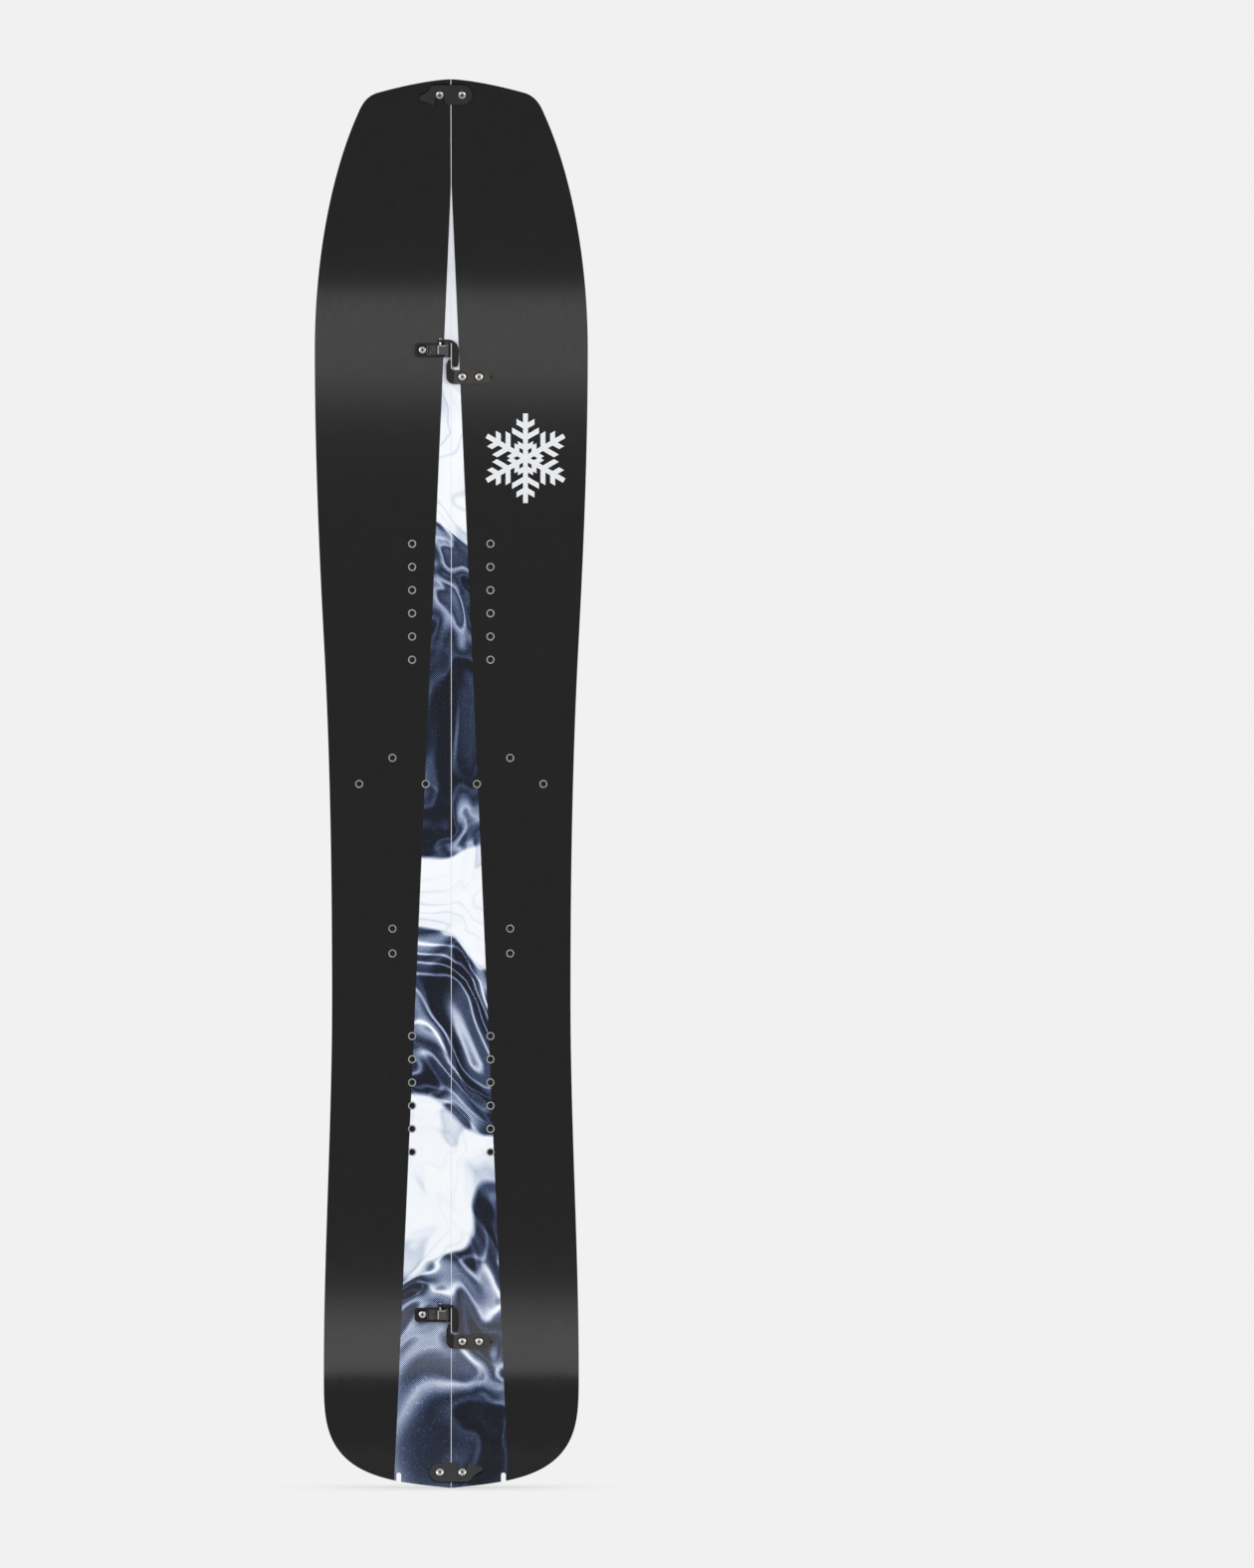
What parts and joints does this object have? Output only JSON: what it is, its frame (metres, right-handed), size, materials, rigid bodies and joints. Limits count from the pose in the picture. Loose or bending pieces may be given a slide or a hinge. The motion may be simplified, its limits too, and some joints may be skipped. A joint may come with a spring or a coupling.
{
  "type": "splitboard",
  "caption": "Snowboard that splits lengthwise into two ski-like halves, held together by tension clips on the seam and rotating latches at nose and tail.",
  "frame": {"origin": "on the topsheet surface, on the seam, at mid-length, midway between the inner touring inserts", "axes": "+Z from tail to nose, -Y out of the topsheet, +X to the right half as seen from the topsheet with the nose up"},
  "size_m": [0.2992, 0.0566, 1.54],
  "materials": {
    "topsheet": "satin black topsheet with a marbled navy and pale wedge along the seam",
    "glass_laminate": "glass fibre in resin",
    "wood_core": "laminated light wood",
    "sidewall": "sanded black plastic",
    "tip_spacer": "black plastic",
    "base_sheet": "waxed base with marbled navy, grey and white",
    "steel_edge": "ground steel",
    "guard": "bead-blasted grey plate",
    "insert": "stainless",
    "screw": "stainless",
    "pin": "stainless",
    "black_metal": "black anodised",
    "keeper_metal": "dark grey anodised",
    "lever_metal": "grey anodised with bright edges",
    "latch_plastic": "moulded black plastic"
  },
  "bodies": {
    "left_half": {"left_topsheet": "topsheet", "left_upper_laminate": "glass_laminate", "left_core": "wood_core", "left_outer_sidewall": "sidewall", "left_inner_sidewall": "sidewall", "left_nose_spacer": "tip_spacer", "left_tail_spacer": "tip_spacer", "left_lower_laminate": "glass_laminate", "left_base": "base_sheet", "left_outer_edge": "steel_edge", "left_inner_edge": "steel_edge", "left_nose_guard": "guard", "left_tail_guard": "guard", "left_binding_inserts": "insert", "left_hardware_inserts": "insert", "front_clip_base": "black_metal", "front_clip_screws": "screw", "front_lever_pin": "pin", "rear_clip_base": "black_metal", "rear_clip_screws": "screw", "rear_lever_pin": "pin", "nose_post": "screw", "tail_latch_washer": "screw", "tail_pivot_screw": "screw"},
    "right_half": {"right_topsheet": "topsheet", "right_upper_laminate": "glass_laminate", "right_core": "wood_core", "right_outer_sidewall": "sidewall", "right_inner_sidewall": "sidewall", "right_nose_spacer": "tip_spacer", "right_tail_spacer": "tip_spacer", "right_lower_laminate": "glass_laminate", "right_base": "base_sheet", "right_outer_edge": "steel_edge", "right_inner_edge": "steel_edge", "right_nose_guard": "guard", "right_tail_guard": "guard", "right_binding_inserts": "insert", "right_hardware_inserts": "insert", "front_keeper_claw": "black_metal", "front_keeper_plate": "keeper_metal", "front_keeper_screws": "screw", "rear_keeper_claw": "black_metal", "rear_keeper_plate": "keeper_metal", "rear_keeper_screws": "screw", "nose_latch_washer": "screw", "nose_pivot_screw": "screw", "tail_post": "screw"},
    "front_lever": {"front_lever": "lever_metal", "front_hook_pin": "pin"},
    "front_hook": {"front_hook": "black_metal"},
    "rear_lever": {"rear_lever": "lever_metal", "rear_hook_pin": "pin"},
    "rear_hook": {"rear_hook": "black_metal"},
    "nose_latch": {"nose_latch": "latch_plastic"},
    "tail_latch": {"tail_latch": "latch_plastic"}
  },
  "joints": [
    {"name": "halves_apart", "type": "slide", "parent": "left_half", "child": "right_half", "axis": [1, 0, 0], "range_m": [0, 0.012]},
    {"name": "front_lever_flip", "type": "hinge", "parent": "left_half", "child": "front_lever", "pos_m": [-0.005, -0.0062, 0.4752], "axis": [0, 0, 1], "range_deg": [0, 110]},
    {"name": "front_hook_swing", "type": "hinge", "parent": "front_lever", "child": "front_hook", "pos_m": [-0.012, -0.0062, 0.4752], "axis": [0, 0, -1], "range_deg": [0, 138]},
    {"name": "rear_lever_flip", "type": "hinge", "parent": "left_half", "child": "rear_lever", "pos_m": [-0.005, -0.0062, -0.5812], "axis": [0, 0, 1], "range_deg": [0, 110]},
    {"name": "rear_hook_swing", "type": "hinge", "parent": "rear_lever", "child": "rear_hook", "pos_m": [-0.012, -0.0062, -0.5812], "axis": [0, 0, -1], "range_deg": [0, 138]},
    {"name": "nose_latch_turn", "type": "hinge", "parent": "right_half", "child": "nose_latch", "pos_m": [0.0123, -0.04164, 0.754], "axis": [0, 0.9455, 0.3256], "range_deg": [0, 180]},
    {"name": "tail_latch_turn", "type": "hinge", "parent": "left_half", "child": "tail_latch", "pos_m": [-0.0123, -0.01968, -0.754], "axis": [0, 0.9613, -0.2756], "range_deg": [0, 180]}
  ],
  "couplings": [
    {"joint": "front_lever_flip", "follows": "halves_apart", "rad_per_m": 159.9},
    {"joint": "front_hook_swing", "follows": "halves_apart", "rad_per_m": 200.6},
    {"joint": "rear_lever_flip", "follows": "halves_apart", "rad_per_m": 159.9},
    {"joint": "rear_hook_swing", "follows": "halves_apart", "rad_per_m": 200.6},
    {"joint": "nose_latch_turn", "follows": "halves_apart", "rad_per_m": 261.7},
    {"joint": "tail_latch_turn", "follows": "halves_apart", "rad_per_m": 261.7}
  ]
}
